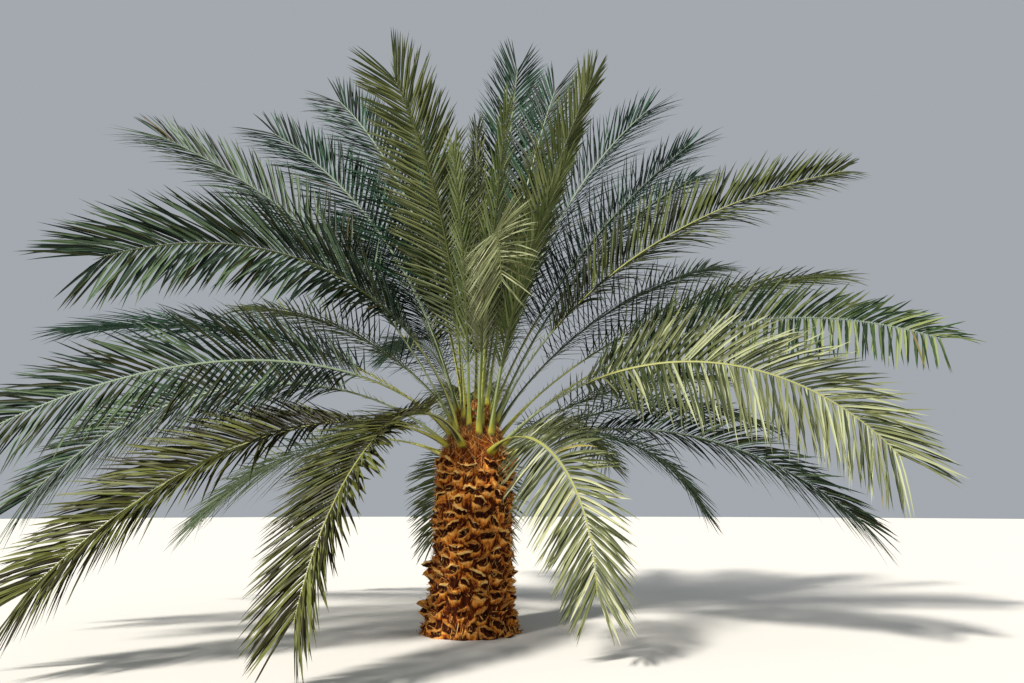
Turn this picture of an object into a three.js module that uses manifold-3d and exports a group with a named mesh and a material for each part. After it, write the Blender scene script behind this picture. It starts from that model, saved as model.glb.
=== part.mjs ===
// A date palm of middle age, whole, standing on level ground: a short booted trunk with a flared foot,
// the fibrous heart of the crown on top of it, and the fronds that spring from the heart.
// Millimetres, +Z up, the origin in the middle of the flat cut under the trunk.
// Headings are degrees round the trunk: 0 to the right, 90 to the back, 180 to the left, 270 to the front.

import * as THREE from 'three';
import Module from 'manifold-3d';

const RAD = Math.PI / 180;

// Trunk
const TRUNK_TOP = 1200;
const TRUNK_LEAN = 25;
const TRUNK_RADIUS = 255;
const TRUNK_TAPER = 22;
const FLARE = 65;
const FLARE_HEIGHT = 110;

// Boots, the cut-off bases of old fronds, in staggered rows up the trunk
const BOOTS_AROUND = 11;
const BOOT_ROWS = 14;
const BOOT_FIRST_LIP = 40;
const BOOT_ROW_RISE = 85;
const BOOT_LENGTH = 130;
const BOOT_PROJECTION = 46;
const BOOT_VARIATION = 0.3;
const BOOT_HALF_WIDTH = 0.75;
const BOOT_CUT_SLOPE = 12;
const COLUMNS_PER_BOOT = 4;
const LONG_STUMPS = [
  { row: 2, column: 5, projection: 105 },
  { row: 5, column: 5, projection: 120 },
  { row: 4, column: 1, projection: 85 },
];

// Heart
const HEART_RADIUS = 268;
const HEART_FADE = 640;
const HEART_FADE_POWER = 1.35;
const HEART_TOP = 1720;
const HEART_SIDES = 22;
const HEART_BANDS = 7;
const CLEARANCE = 0.3;
// Measured level, which makes CLEARANCE square to the heart's slope.
const LEVEL_CLEARANCE = 0.34;

// Seats of the fronds in the heart: the steeper a frond rises, the higher and nearer the middle it starts,
// though at the front the seats lie lower, since the crown leans that way a little
const SEAT_LOW = { radius: 228, height: 1265, rise: 25 };
const SEAT_HIGH = { radius: 78, height: 1530, rise: 85 };
const SEAT_SLANT = 305;
const FRONT_DROP = 0.62;
const SEAT_WIDTH = 92;
const SEAT_DEPTH = 58;
const SEAT_ROUNDS = 300;
const SEAT_PUSH = 0.25;
const SEAT_NEAREST = 0.05;
const LOWEST_SEAT = -0.05;
const HIGHEST_SEAT = 1.1;

// Rib and leaflets of a frond
const CURVE_STEPS = 96;
const TWIST_DONE = 0.5;
const RIB_TIP = 12;
const RIB_BLADE = 34;
const RIB_FOOT = 78;
const RIB_FOOT_YOUNG = 58;
const RIB_FOOT_FADE = 260;
const RIB_DEPTH = 0.6;
const RIB_KEEL = 2 / 3;
const PETIOLE_SHARE = 0.27;
const PETIOLE_STEPS = 4;
const LEAFLET_PITCH = 140;
const LEAFLET_BASE_SHARE = 0.5;
const LEAFLET_LENGTH = 600;
const LEAFLET_SHORTEST = { first: 0.42, last: 0.66 };
const LEAFLET_PEAK_POWER = 0.7;
const LEAFLET_SWELL_POWER = { first: 1.1, last: 0.5 };
const LEAFLET_SAG = 0.1;
const LEAFLET_FORWARD = { first: 62, last: 36, young: 0.88 };
const LEAFLET_LIFTS = [40, 8, 24];
const TERMINAL_LENGTH = 260;
const FULL_FROND = 3200;
const SMALLEST_SIZE = 0.75;
const LEAFLET_GAP = 1;
const LEAFLET_TRIES = [1, 0.86, 0.72, 0.58, 0.44, 0.32];
const TEST_STRETCH = 6;
const LOWEST_TIP = 25;
const SPLIT_FROM_DROOP = 80;
const SPLIT_SHARE = 0.42;

// Each frond: where it heads, how steeply it leaves the heart, how far it has drooped by its tip, its length,
// how late the droop comes (above 1 late, below 1 early) and how far its blade turns about the rib.
const frond = (heading, rise, droop, length, bend = 1.3, twist = 0) => {
  return { heading, rise, droop, length, bend, twist };
};
const FRONDS = {
  left_1: frond(227, 86, 32, 2800, 1.6, 45),
  left_2: frond(152, 79, 33, 3450, 1.4, -55),
  left_3: frond(164, 76, 42, 3350, 1.1, -50),
  left_4: frond(185, 64, 41, 3450, 1.1, -45),
  left_5: frond(226, 82, 111, 3200, 0.75, -60),
  left_6: frond(172, 59, 63, 3550, 0.5, -12),
  left_7: frond(200, 67, 99, 3300, 0.5, -65),
  left_8: frond(184, 47, 97, 3500, 0.8, -50),
  left_9: frond(212, 46, 96, 3050, 0.5, -30),
  left_10: frond(148, 29, 63, 3150, 0.65, -30),
  left_11: frond(249, 54, 126, 2600, 0.6, 20),
  left_12: frond(103, 31, 82, 2250, 0.6),
  left_13: frond(149, 67, 58, 2900, 0.5, -20),
  left_14: frond(110, 52, 60, 3600, 1.0, -25),
  crest_1: frond(68, 77, 1, 3650, 1.3, 30),
  crest_2: frond(46, 80, 13, 3300, 1.3, 20),
  crest_3: frond(326, 80, 19, 2850, 1.0, -50),
  crest_4: frond(22, 76, 32, 3350, 1.35, 40),
  crest_5: frond(23, 75, 34, 3450, 0.6, 30),
  crest_6: frond(35, 68, 37, 3750, 0.85, 25),
  crest_7: frond(347, 71, 64, 3450, 0.8, 45),
  crest_8: frond(38, 63, 45, 3600, 0.55, 20),
  right_1: frond(20, 55, 46, 3850, 0.6, 15),
  right_2: frond(357, 46, 65, 3700, 1.0, 55),
  right_3: frond(339, 46, 99, 3150, 1.05, 65),
  right_4: frond(19, 33, 49, 2450, 0.95, 20),
  right_5: frond(350, 28, 71, 2750, 0.85, 30),
  right_6: frond(32, 29, 82, 2400, 1.1, 30),
  right_7: frond(60, 35, 62, 2500, 0.8),
  right_8: frond(301, 36, 125, 1900, 0.8, 60),
  front_1: frond(277, 84, 165, 2600, 1.8, 50),
  front_2: frond(257, 86, 22, 2200),
  front_3: frond(300, 75, 36, 2200),
  back_1: frond(88, 31, 105, 2450, 0.8),
  back_2: frond(88, 58, 55, 3500, 1.3, 20),
  back_3: frond(128, 34, 82, 3000, 0.9),
  back_4: frond(130, 63, 42, 3600, 1.3, -30),
  back_5: frond(75, 70, 30, 3500),
  back_6: frond(117, 76, 25, 3450),
  back_7: frond(34, 37, 34, 2700, 0.75, 15),
  back_8: frond(95, 42, 72, 3300, 1.0),
  young_1: frond(95, 86, 10, 2700),
  young_2: frond(185, 84, 14, 2900),
  young_3: frond(290, 84, 18, 2500),
};

const PALETTE = {
  bark: new THREE.MeshStandardMaterial({ color: 0x7d4f27, roughness: 0.95, metalness: 0 }),
  fibre: new THREE.MeshStandardMaterial({ color: 0x9a6230, roughness: 0.95, metalness: 0 }),
  olive: new THREE.MeshStandardMaterial({ color: 0x5c6b35, roughness: 0.6, metalness: 0 }),
  blue_green: new THREE.MeshStandardMaterial({ color: 0x47644a, roughness: 0.6, metalness: 0 }),
  pale_green: new THREE.MeshStandardMaterial({ color: 0x8c9a63, roughness: 0.6, metalness: 0 }),
};

const clamp = (value, low, high) => Math.min(high, Math.max(low, value));
const mix = (from, to, share) => from + (to - from) * share;

// Short fronds carry shorter leaflets.
const sizeOf = (row) => clamp(row.length / FULL_FROND, SMALLEST_SIZE, 1);

// A repeatable number between 0 and 1 for a pair of counts.
function chance(a, b) {
  const wave = Math.sin(a * 12.9898 + b * 78.233) * 43758.5453;
  return wave - Math.floor(wave);
}

const wasm = await Module();
wasm.setup();

function solidOf(points, triangles) {
  const vertProperties = new Float32Array(points.flatMap((p) => [p.x, p.y, p.z]));
  const triVerts = new Uint32Array(triangles.flat());
  return new wasm.Manifold(new wasm.Mesh({ numProp: 3, vertProperties, triVerts }));
}

function geometryOf(solid) {
  const mesh = solid.getMesh();
  const geometry = new THREE.BufferGeometry();
  geometry.setAttribute('position', new THREE.BufferAttribute(new Float32Array(mesh.vertProperties), 3));
  geometry.setIndex(new THREE.BufferAttribute(new Uint32Array(mesh.triVerts), 1));
  return geometry;
}

// Closed stack of rings, each with the same number of points, with a fan to its own middle at both ends.
function ringStack(rings, middles) {
  const sides = rings[0].length;
  const points = [...rings.flat(), ...middles];
  const [foot, head] = [rings.length * sides, rings.length * sides + 1];
  const triangles = [];
  for (let side = 0; side < sides; side++) {
    const next = (side + 1) % sides;
    triangles.push([foot, next, side]);
    for (let ring = 0; ring + 1 < rings.length; ring++) {
      const [low, high] = [ring * sides, (ring + 1) * sides];
      triangles.push([low + side, low + next, high + next], [low + side, high + next, high + side]);
    }
    const last = (rings.length - 1) * sides;
    triangles.push([head, last + side, last + next]);
  }
  return solidOf(points, triangles);
}

const leanAt = (height) => (TRUNK_LEAN * Math.min(height, TRUNK_TOP)) / TRUNK_TOP;

function ringAt(height, sides, radiusAt) {
  return Array.from({ length: sides }, (_, side) => {
    const angle = (side / sides) * 2 * Math.PI;
    const radius = radiusAt(angle);
    return new THREE.Vector3(leanAt(height) + radius * Math.cos(angle), radius * Math.sin(angle), height);
  });
}

const middleAt = (height) => new THREE.Vector3(leanAt(height), 0, height);

function trunkRadius(height) {
  return TRUNK_RADIUS + TRUNK_TAPER * (1 - height / TRUNK_TOP) + FLARE * Math.exp(-height / FLARE_HEIGHT);
}

// How far the boots stand out: each is a wedge that grows outwards as it rises, highest along its middle,
// and ends at its lip in the cut. Boots in one row sit half a step round from those in the row below.
function bootRelief(angle, height) {
  const step = (2 * Math.PI) / BOOTS_AROUND;
  let relief = 0;
  for (let row = 0; row < BOOT_ROWS; row++) {
    const below = BOOT_FIRST_LIP + row * BOOT_ROW_RISE - height;
    if (below < 0 || below > BOOT_LENGTH) continue;
    const offset = (row % 2) * 0.5;
    const column = Math.round(angle / step - offset);
    const across = Math.abs(angle / step - offset - column) / BOOT_HALF_WIDTH;
    const boot = ((column % BOOTS_AROUND) + BOOTS_AROUND) % BOOTS_AROUND;
    const stump = LONG_STUMPS.find((long) => long.row === row && long.column === boot);
    const usual = BOOT_PROJECTION * (1 + BOOT_VARIATION * (2 * chance(row, boot) - 1));
    const projection = stump ? stump.projection : usual;
    relief = Math.max(relief, projection * (1 - across ** 2) * (1 - below / BOOT_LENGTH));
  }
  return relief;
}

function trunkSolid() {
  const lips = Array.from({ length: BOOT_ROWS }, (_, row) => BOOT_FIRST_LIP + row * BOOT_ROW_RISE);
  const heights = [0, ...lips.flatMap((lip) => [lip, lip + BOOT_CUT_SLOPE]), TRUNK_TOP];
  const sides = BOOTS_AROUND * COLUMNS_PER_BOOT;
  const rings = heights.map((height) => {
    return ringAt(height, sides, (angle) => trunkRadius(height) + bootRelief(angle, height));
  });
  return ringStack(rings, [middleAt(0), middleAt(TRUNK_TOP)]);
}

function heartRadius(height) {
  return HEART_RADIUS * (1 - ((height - TRUNK_TOP) / HEART_FADE) ** HEART_FADE_POWER);
}

// The heart, or the same form grown all round by a clearance, which is what the fronds are cut with.
function heartSolid(grown = 0) {
  const bands = Array.from({ length: HEART_BANDS + 1 }, (_, band) => band / HEART_BANDS);
  const heights = bands.map((share) => mix(TRUNK_TOP, HEART_TOP, share));
  const places = heights.map((height, band) => height + (band === HEART_BANDS ? grown : 0));
  places[0] += CLEARANCE - grown;
  const rings = places.map((place, band) => {
    return ringAt(place, HEART_SIDES, () => heartRadius(heights[band]) + grown);
  });
  return ringStack(rings, [middleAt(places[0]), middleAt(places[HEART_BANDS])]);
}

// Seats: each frond starts at its own heading and height, and seats that crowd push each other apart.
function seatFronds(rows) {
  for (const row of rows) {
    row.turn = row.heading * RAD;
    row.youth = clamp((row.rise - SEAT_LOW.rise) / (SEAT_HIGH.rise - SEAT_LOW.rise), 0, 1);
    row.climb = row.youth * (1 - FRONT_DROP * Math.max(0, -Math.sin(row.turn)));
  }
  for (let round = 0; round < SEAT_ROUNDS; round++) {
    for (let i = 0; i < rows.length; i++) {
      for (let j = i + 1; j < rows.length; j++) {
        const [a, b] = [rows[i], rows[j]];
        const radius = mix(SEAT_LOW.radius, SEAT_HIGH.radius, (a.climb + b.climb) / 2);
        const turned = Math.atan2(Math.sin(b.turn - a.turn), Math.cos(b.turn - a.turn));
        const across = (turned * radius) / SEAT_WIDTH;
        const up = ((b.climb - a.climb) * SEAT_SLANT) / SEAT_DEPTH;
        const apart = Math.hypot(across, up);
        if (apart >= 1) continue;
        const push = (SEAT_PUSH * (1 - apart)) / Math.max(apart, SEAT_NEAREST);
        a.turn -= (push * across * SEAT_WIDTH) / radius;
        b.turn += (push * across * SEAT_WIDTH) / radius;
        a.climb = clamp(a.climb - (push * up * SEAT_DEPTH) / SEAT_SLANT, LOWEST_SEAT, HIGHEST_SEAT);
        b.climb = clamp(b.climb + (push * up * SEAT_DEPTH) / SEAT_SLANT, LOWEST_SEAT, HIGHEST_SEAT);
      }
    }
  }
  for (const row of rows) {
    const radius = mix(SEAT_LOW.radius, SEAT_HIGH.radius, row.climb);
    const height = mix(SEAT_LOW.height, SEAT_HIGH.height, row.climb);
    const [east, north] = [radius * Math.cos(row.turn), radius * Math.sin(row.turn)];
    row.seat = new THREE.Vector3(TRUNK_LEAN + east, north, height);
  }
}

// The rib's direction, upper face and right-hand side at a share of its length.
function frameAt(row, share) {
  const pitch = (row.rise - row.droop * share ** row.bend) * RAD;
  const heading = row.heading * RAD;
  const turned = clamp(share / TWIST_DONE, 0, 1);
  const twist = row.twist * turned * turned * (3 - 2 * turned) * RAD;
  const [cosPitch, sinPitch] = [Math.cos(pitch), Math.sin(pitch)];
  const [cosHead, sinHead] = [Math.cos(heading), Math.sin(heading)];
  const along = new THREE.Vector3(cosPitch * cosHead, cosPitch * sinHead, sinPitch);
  const upright = new THREE.Vector3(-sinPitch * cosHead, -sinPitch * sinHead, cosPitch);
  const level = new THREE.Vector3(sinHead, -cosHead, 0);
  const face = upright.clone().multiplyScalar(Math.cos(twist)).addScaledVector(level, Math.sin(twist));
  const side = level.clone().multiplyScalar(Math.cos(twist)).addScaledVector(upright, -Math.sin(twist));
  return { along, face, side };
}

// The rib's course: equal short steps, each in the direction at its own middle.
function courseOf(row) {
  const course = [row.seat.clone()];
  for (let step = 0; step < CURVE_STEPS; step++) {
    const { along } = frameAt(row, (step + 0.5) / CURVE_STEPS);
    course.push(course[step].clone().addScaledVector(along, row.length / CURVE_STEPS));
  }
  return course;
}

function pointAt(row, share) {
  const place = clamp(share, 0, 1) * CURVE_STEPS;
  const step = Math.min(Math.floor(place), CURVE_STEPS - 1);
  return row.course[step].clone().lerp(row.course[step + 1], place - step);
}

function ribWidth(row, share) {
  const foot = mix(RIB_FOOT, RIB_FOOT_YOUNG, row.youth) - RIB_TIP - RIB_BLADE;
  return RIB_TIP + RIB_BLADE * (1 - share) + foot * Math.exp((-share * row.length) / RIB_FOOT_FADE);
}

// One ring of the rib: left edge, right edge and keel.
function ribRing(row, share, shift = 0) {
  const { along, face, side } = frameAt(row, share);
  const middle = pointAt(row, share).addScaledVector(along, shift);
  const width = ribWidth(row, share);
  const corner = (across, up) => {
    return middle.clone().addScaledVector(side, across * width).addScaledVector(face, up * width * RIB_DEPTH);
  };
  return [corner(-0.5, 1 - RIB_KEEL), corner(0.5, 1 - RIB_KEEL), corner(0, -RIB_KEEL)];
}

// Tip of a leaflet on one side of the rib. It points forward, outward and somewhat up, then sags.
function leafletTip(row, share, hand, count, scale) {
  const { along, face, side } = frameAt(row, share);
  const outward = (share - PETIOLE_SHARE) / (1 - PETIOLE_SHARE);
  const spread = mix(LEAFLET_FORWARD.first, LEAFLET_FORWARD.last, outward);
  const forward = spread * mix(1, LEAFLET_FORWARD.young, row.youth) * RAD;
  const lift = LEAFLET_LIFTS[count % LEAFLET_LIFTS.length] * RAD;
  const fade = mix(LEAFLET_SWELL_POWER.first, LEAFLET_SWELL_POWER.last, outward);
  const swell = Math.sin(Math.PI * outward ** LEAFLET_PEAK_POWER) ** fade;
  const fullness = mix(mix(LEAFLET_SHORTEST.first, LEAFLET_SHORTEST.last, outward), 1, swell);
  const length = LEAFLET_LENGTH * fullness * sizeOf(row) * scale;
  const reach = along.multiplyScalar(Math.cos(forward));
  reach.addScaledVector(side, hand * Math.sin(forward) * Math.cos(lift));
  reach.addScaledVector(face, Math.sin(forward) * Math.sin(lift));
  const tip = pointAt(row, share).addScaledVector(reach, length);
  tip.z -= LEAFLET_SAG * length;
  return tip;
}

// Faces of the rib between two rings, and the quads of its sides that a leaflet can stand on.
const EDGES = { top: [0, 1], right: [1, 2], left: [2, 0] };

function ribPiece(rings, leaflets, tip) {
  const points = rings.flat();
  const triangles = [[0, 2, 1]];
  const quadOf = (ring, [from, to]) => {
    const [near, far] = [3 * ring, 3 * ring + 3];
    return [near + from, near + to, far + to, far + from];
  };
  for (let ring = 0; ring + 1 < rings.length; ring++) {
    for (const edge of Object.keys(EDGES)) {
      const [a, b, c, d] = quadOf(ring, EDGES[edge]);
      const leaflet = leaflets.find((leaf) => leaf.ring === ring && leaf.edge === edge);
      if (!leaflet) {
        triangles.push([a, b, c], [a, c, d]);
        continue;
      }
      const apex = points.push(leaflet.tip) - 1;
      triangles.push([a, b, apex], [b, c, apex], [c, d, apex], [d, a, apex]);
    }
  }
  const last = 3 * (rings.length - 1);
  if (tip) {
    const apex = points.push(tip) - 1;
    Object.values(EDGES).forEach(([from, to]) => triangles.push([last + from, last + to, apex]));
  } else {
    triangles.push([last, last + 1, last + 2]);
  }
  return solidOf(points, triangles);
}

// A leaflet by itself, with its foot closed, to test it against its neighbours.
function leafletSolid(rings, leaf, tip) {
  const [from, to] = EDGES[leaf.edge];
  const [near, far] = [rings[leaf.ring], rings[leaf.ring + 1]];
  const foot = [near[from], near[to], far[to], far[from]];
  return solidOf([...foot, tip], [[0, 1, 4], [1, 2, 4], [2, 3, 4], [3, 0, 4], [0, 2, 1], [0, 3, 2]]);
}

const boxOf = (solid) => {
  const { min, max } = solid.boundingBox();
  return new THREE.Box3(new THREE.Vector3(...min), new THREE.Vector3(...max)).expandByScalar(LEAFLET_GAP);
};

// Everything that leaflets keep clear of, each entry with the frond that it belongs to.
const placed = [];

function place(solid, owner) {
  placed.push({ solid, box: boxOf(solid), owner });
}

function isClear(solid, owner) {
  const box = boxOf(solid);
  const others = placed.filter((other) => other.owner !== owner && box.intersectsBox(other.box));
  return others.every((other) => solid.minGap(other.solid, LEAFLET_GAP) >= LEAFLET_GAP);
}

// Shares of the length at which the rib has a ring, and the leaflets that stand between two of them.
function layOut(row) {
  const shares = Array.from({ length: PETIOLE_STEPS }, (_, step) => (PETIOLE_SHARE * step) / PETIOLE_STEPS);
  const pairs = Math.round((row.length * (1 - PETIOLE_SHARE)) / LEAFLET_PITCH);
  const leaflets = [];
  for (let pair = 0; pair < pairs; pair++) {
    const start = mix(PETIOLE_SHARE, 1, pair / pairs);
    const end = start + ((1 - PETIOLE_SHARE) / pairs) * LEAFLET_BASE_SHARE;
    const share = (start + end) / 2;
    leaflets.push({ ring: shares.length, edge: 'right', hand: 1, share, count: pair });
    leaflets.push({ ring: shares.length, edge: 'left', hand: -1, share, count: pair });
    shares.push(start, end);
  }
  shares.push(1);
  return { shares, leaflets };
}

function growFrond(row) {
  row.course = courseOf(row);
  Object.assign(row, layOut(row));
  row.rings = row.shares.map((share) => ribRing(row, share));
  const { along } = frameAt(row, 1);
  const end = pointAt(row, 1);
  const longest = along.z < 0 ? (end.z - LOWEST_TIP) / -along.z : Infinity;
  row.tip = end.addScaledVector(along, Math.min(TERMINAL_LENGTH * sizeOf(row), longest));
  for (let ring = 0; ring + 1 < row.rings.length; ring += TEST_STRETCH) {
    place(ribPiece(row.rings.slice(ring, ring + TEST_STRETCH + 1), [], null), row.name);
  }
}

// Leaflets that would touch another frond, the trunk, the heart or the ground are shortened, or left out.
function leafFrond(row) {
  row.leaflets = row.leaflets.filter((leaf) => {
    for (const scale of LEAFLET_TRIES) {
      const tip = leafletTip(row, leaf.share, leaf.hand, leaf.count, scale);
      if (tip.z < LOWEST_TIP) continue;
      const solid = leafletSolid(row.rings, leaf, tip);
      if (isClear(solid, row.name)) {
        place(solid, row.name);
        leaf.tip = tip;
        return true;
      }
      solid.delete();
    }
    return false;
  });
}

// A frond is one piece, or two that meet end to end where a strongly arched one bends.
function frondPieces(row, cutter) {
  if (row.droop < SPLIT_FROM_DROOP) {
    return [[`frond_${row.name}`, ribPiece(row.rings, row.leaflets, row.tip).subtract(cutter)]];
  }
  const target = mix(PETIOLE_SHARE, 1, SPLIT_SHARE);
  const leafRings = new Set(row.leaflets.map((leaf) => leaf.ring));
  const bend = row.shares.findIndex((share, ring) => share > target && !leafRings.has(ring - 1));
  const end = ribRing(row, row.shares[bend], -CLEARANCE);
  const within = row.leaflets.filter((leaf) => leaf.ring < bend);
  const outer = row.leaflets.filter((leaf) => leaf.ring >= bend);
  const beyond = outer.map((leaf) => ({ ...leaf, ring: leaf.ring - bend }));
  const inner = ribPiece([...row.rings.slice(0, bend), end], within, null);
  return [
    [`frond_${row.name}_inner`, inner.subtract(cutter)],
    [`frond_${row.name}_outer`, ribPiece(row.rings.slice(bend), beyond, row.tip)],
  ];
}

const SUNLIT = ['right_3', 'right_8'];

function frondMaterial(row) {
  if (SUNLIT.includes(row.name)) return PALETTE.pale_green;
  return row.heading > 180 ? PALETTE.olive : PALETTE.blue_green;
}

function addPart(group, name, solid, material) {
  const mesh = new THREE.Mesh(geometryOf(solid), material);
  mesh.name = name;
  group.add(mesh);
}

const palm = new THREE.Group();
const crown = new THREE.Group();
palm.add(crown);

const trunk = trunkSolid();
const heart = heartSolid();
const cutter = heartSolid(LEVEL_CLEARANCE);
addPart(palm, 'trunk', trunk, PALETTE.bark);
addPart(palm, 'heart', heart, PALETTE.fibre);
place(trunk, 'trunk');
place(heart, 'heart');

const rows = Object.entries(FRONDS).map(([name, row]) => ({ name, ...row }));
seatFronds(rows);
rows.forEach(growFrond);
rows.forEach(leafFrond);
for (const row of rows) {
  for (const [name, solid] of frondPieces(row, cutter)) addPart(crown, name, solid, frondMaterial(row));
}

export default palm;
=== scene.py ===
"""The looks of a date palm of middle age that stands on level ground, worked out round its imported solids.

Metres, +Z up, the origin in the middle of the flat cut under the trunk. Headings are degrees round the
trunk: 0 to the right, 90 to the back, 180 to the left, 270 to the front. Every surface is an array of points,
worked out from a few named sizes. The fronds grow by the rule of the solids, carried to the real number of
leaflets.
"""

import math
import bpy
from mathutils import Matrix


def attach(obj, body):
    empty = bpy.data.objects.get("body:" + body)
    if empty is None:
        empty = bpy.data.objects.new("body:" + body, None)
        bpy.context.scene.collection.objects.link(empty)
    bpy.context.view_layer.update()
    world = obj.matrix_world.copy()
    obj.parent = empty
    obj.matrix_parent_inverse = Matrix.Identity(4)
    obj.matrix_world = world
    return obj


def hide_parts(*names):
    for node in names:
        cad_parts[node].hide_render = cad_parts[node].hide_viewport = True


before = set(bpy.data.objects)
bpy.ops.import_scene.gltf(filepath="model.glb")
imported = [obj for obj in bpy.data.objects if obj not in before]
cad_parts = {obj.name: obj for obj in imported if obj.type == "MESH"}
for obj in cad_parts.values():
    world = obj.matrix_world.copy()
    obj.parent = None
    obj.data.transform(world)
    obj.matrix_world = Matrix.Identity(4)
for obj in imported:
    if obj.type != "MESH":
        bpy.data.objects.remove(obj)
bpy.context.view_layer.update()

from types import SimpleNamespace

import bpy
import numpy as np

# Trunk
TRUNK_TOP = 1.2
TRUNK_LEAN = 0.025
TRUNK_RADIUS = 0.255
TRUNK_TAPER = 0.022
FLARE = 0.065
FLARE_HEIGHT = 0.11
TRUNK_COLUMNS = 198
TRUNK_ROWS = 170
CORE_SHARE = 0.3
RIDGE_GRAIN = (0.02, 0.02, 0.09)
RIDGE_RELIEF = 0.007
RIDGE_SINK = 0.6

# Boots, the cut-off bases of old fronds
BOOTS_AROUND = 11
BOOT_ROWS = 14
HEART_BOOT_ROWS = 1
BOOT_FIRST_LIP = 0.04
BOOT_ROW_RISE = 0.085
BOOT_LENGTH = 0.13
BOOT_PROJECTION = 0.046
BOOT_VARIATION = 0.3
BOOT_HALF_WIDTH = 0.75
BOOT_SLICES = 29
BOOT_ROOT_WIDTH = 0.1
BOOT_LIP_WIDTH = 0.072
BOOT_CUP = 0.027
BOOT_CUP_WIDTH = 0.62
LONG_STUMPS = {(2, 5): 0.105, (5, 5): 0.12, (4, 1): 0.085}

# How far one boot may differ from the next, in shares or metres
BOOT_RANGES = {"width": (-0.4, 0.4), "stand": (-0.25, 0.25), "rise": (-0.028, 0.028), "bow": (-0.03, 0.03),
               "tilt": (-0.045, 0.045), "shift": (-0.024, 0.024), "keel": (-0.3, 0.3), "reach": (-0.3, 0.3),
               "slide": (-0.018, 0.018), "cup": (-0.4, 0.4), "rim": (0.46, 0.86)}
TEAR_GRAIN = (0.03, 0.03, 0.035)
TEAR_DEPTH = 0.014
TEAR_RISE = 0.012
CHIP_GRAIN = (0.014, 0.014, 0.022)
CHIP_DEPTH = 0.012
FRAY_LIFT = 0.004
WORN_SHARE = 0.45

# Heart
HEART_RADIUS = 0.268
HEART_FADE = 0.64
HEART_FADE_POWER = 1.35
HEART_TOP = 1.72
HEART_COLUMNS = 150
HEART_ROWS = 90
MAT_GRAIN = (0.045, 0.045, 0.07)
MAT_RELIEF = 0.014
THREAD_GRAIN = (0.016, 0.016, 0.05)
THREAD_RELIEF = 0.012
CLEARANCE = 0.0003

# Ranges of the torn fibres on the boots, of the loose ones across trunk and heart, and of the stub roots
TORN_EACH = 14
TORN = {"up": (-0.07, 0.02), "turn": (-0.075, 0.075), "depth": (0.2, 0.85), "outward": (0.15, 0.9),
        "sideways": (-0.9, 0.9), "upward": (-0.25, 1.1), "length": (0.025, 0.075, 1.5), "curl": (-0.5, 0.5),
        "radius": (0.0011, 0.0068, 3)}
HEART_FIBRES = 1700
TRUNK_FIBRES = 500
LOOSE = {"slant": (-1.2, 1.2), "length": (0.5, 1.3), "place": (0, 1), "turn": (0, 2 * math.pi),
         "lift": (0.3, 1), "weight": (0, 1)}
LOOSE_RADIUS = (0.0009, 0.0022)
LOOSE_OFF = (0.02, 0.006)
FOOT_ROOTS = 260
ROOT = {"top": (0.05, 0.17), "turn": (0, 2 * math.pi), "lean": (-0.06, 0.06), "off": (-0.004, 0.02),
        "radius": (0.003, 0.006)}

# Seats of the fronds in the heart, from the lowest to the highest
SEAT_RADIUS = (0.228, 0.078)
SEAT_HEIGHT = (1.265, 1.53)
SEAT_RISE = (25, 85)
SEAT_SLANT = 0.305
FRONT_DROP = 0.62
SEAT_WIDTH = 0.092
SEAT_DEPTH = 0.058
SEAT_ROUNDS = 300
SEAT_PUSH = 0.25
SEAT_NEAREST = 0.05
SEAT_LIMITS = (-0.05, 1.1)

# Rib of a frond, whose foot has its first width on an old frond and its second on a young one
CURVE_STEPS = 96
TWIST_DONE = 0.5
RIB_TIP = 0.012
RIB_POINT = 0.06
RIB_BLADE = 0.034
RIB_FOOT = (0.078, 0.058)
RIB_FOOT_FADE = 0.26
RIB_SIDES = 14
RIB_CREST = 0.2
RIB_KEEL = 0.4
STALK_HOLLOW = 1.1
PETIOLE_SHARE = 0.27
PETIOLE_OVERLAP = 1.05
PETIOLE_RINGS = 20
BLADE_RINGS = 34
SHEATH_SPREAD = 0.008
SHEATH_FADE = 0.07
SLENDER_SHARE = 0.58
MARGIN_SIDES = 2

# Spines on the stalk's edges
SPINE_PITCH = 0.045
SPINED_SHARE = 0.75
SPINES_FEWEST = 4
SPINE_FIRST = 0.06
SPINE_SEAT = 0.46
SPINE_LENGTH = 0.13
SPINE = {"place": (-0.004, 0.004), "forward": (38, 58), "lift": (0, 45), "length": (0.75, 1.2)}
SPINE_RADIUS = 0.0032

# Leaflets: the pitch is the real one, less than a sixth of the solids', and the sags are an old and a young
# frond's
LEAFLET_PITCH = 0.0235
LEAFLET_LENGTH = 0.6
LEAFLET_SHORTEST = 0.42
LEAFLET_PEAK_POWER = 0.7
LEAFLET_SWELL_POWER = (1.1, 0.5)
LEAFLET_WIDTH = 0.0235
LEAFLET_BREADTH = (0.85, 1.1)
LEAFLET_FOOT_WIDTH = 0.45
LEAFLET_WIDEST = 0.2
LEAFLET_STATIONS = np.array([0, 0.1, 0.3, 0.56, 0.82])
LEAFLET_FOLD = (34, 12)
LEAFLET_THICKNESS = 0.0014
LEAFLET_SEAT = 0.38
YOUNG_FORWARD = 0.88
TIP_GATHER = 0.25
TIP_LIFT = 0.6
CLUSTER_PULL = 0.12
CLUSTER_SPLAY = 3.5
SAG = (0.17, 0.1)
BARE_RADIUS = 0.33
BARE_HEIGHT = 1.35
FULL_FROND = 3.2
SMALLEST_SIZE = 0.75
LOWEST_TIP = 0.03

# How far one leaflet may differ from the next, in shares or degrees
LEAFLET_RANGES = {"place": (-0.12, 0.12), "forward": (-3.5, 3.5), "lift": (-5, 5), "length": (-0.08, 0.08),
                  "sag": (-0.8, 0.8), "bend": (-0.05, 0.05), "roll": (-16, 16), "width": (-0.12, 0.12)}

PIECE_LIMIT = 190000
FROND_TRIANGLES = 12000
SEED = 20


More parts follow.
